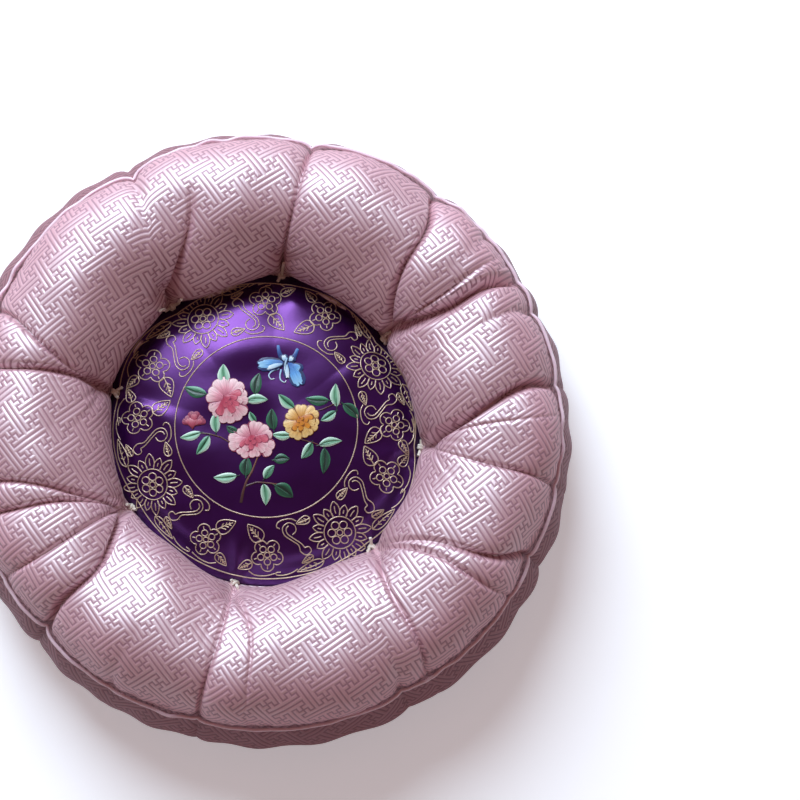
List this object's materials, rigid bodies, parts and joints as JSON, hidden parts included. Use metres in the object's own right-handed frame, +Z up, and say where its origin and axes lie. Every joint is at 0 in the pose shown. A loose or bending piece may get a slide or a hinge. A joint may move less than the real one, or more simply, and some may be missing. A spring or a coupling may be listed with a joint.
{
  "type": "tufted round floor cushion",
  "caption": "Round puffy floor cushion: satin damask lobes with folds between them, drawn down by thread ties round a sunken embroidered satin medallion, with a thin welt and a side band.",
  "frame": {"origin": "middle of the flat underside, at the middle of the object's bounding box", "axes": "+Z up through the medallion, +Y towards the far edge of the cushion as it is looked down on, +X to the right"},
  "size_m": [0.5472, 0.5466, 0.1415],
  "materials": {
    "pink_satin": "pale pink satin damask woven with a key fret, silky",
    "purple_satin": "deep purple satin, embroidered, silky",
    "pink_welt": "pale pink satin over a thin cord",
    "cream_cotton": "matt cream cotton thread"
  },
  "bodies": {
    "root": {"cushion": "pink_satin", "medallion": "purple_satin", "top_welt": "pink_welt", "tie_1": "cream_cotton", "tie_2": "cream_cotton", "tie_3": "cream_cotton", "tie_4": "cream_cotton", "tie_5": "cream_cotton", "tie_6": "cream_cotton", "tie_7": "cream_cotton", "tie_8": "cream_cotton"}
  },
  "joints": []
}
